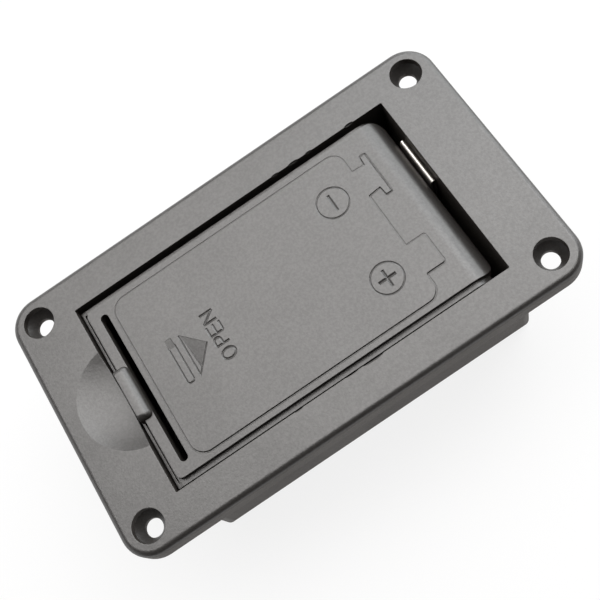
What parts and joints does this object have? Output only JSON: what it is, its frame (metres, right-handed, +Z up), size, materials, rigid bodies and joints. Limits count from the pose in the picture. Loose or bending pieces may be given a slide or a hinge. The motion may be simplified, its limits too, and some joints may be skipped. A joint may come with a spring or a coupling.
{
  "type": "nine volt battery holder",
  "caption": "Flush-mount box for a nine volt block battery: screwed flange, swing-out drawer with a thumb latch, and spring contacts.",
  "frame": {"origin": "under the middle of the holder, on the plane of its flat bottom", "axes": "+X along the battery, from the latch end to the hinge and contact end; +Y across; +Z up, out of the flange"},
  "size_m": [0.0766, 0.045, 0.0269],
  "materials": {
    "plastic": "fine-textured moulded plastic with a satin sheen",
    "contact_metal": "bright nickel-plated spring strip"
  },
  "bodies": {
    "housing": {"housing": "plastic", "negative_contact": "contact_metal", "positive_contact": "contact_metal"},
    "drawer": {"drawer": "plastic"}
  },
  "joints": [
    {"name": "drawer_hinge", "type": "hinge", "parent": "housing", "child": "drawer", "pos_m": [0.0228, 0, 0.0217], "axis": [0, 1, 0], "range_deg": [0, 100]}
  ]
}
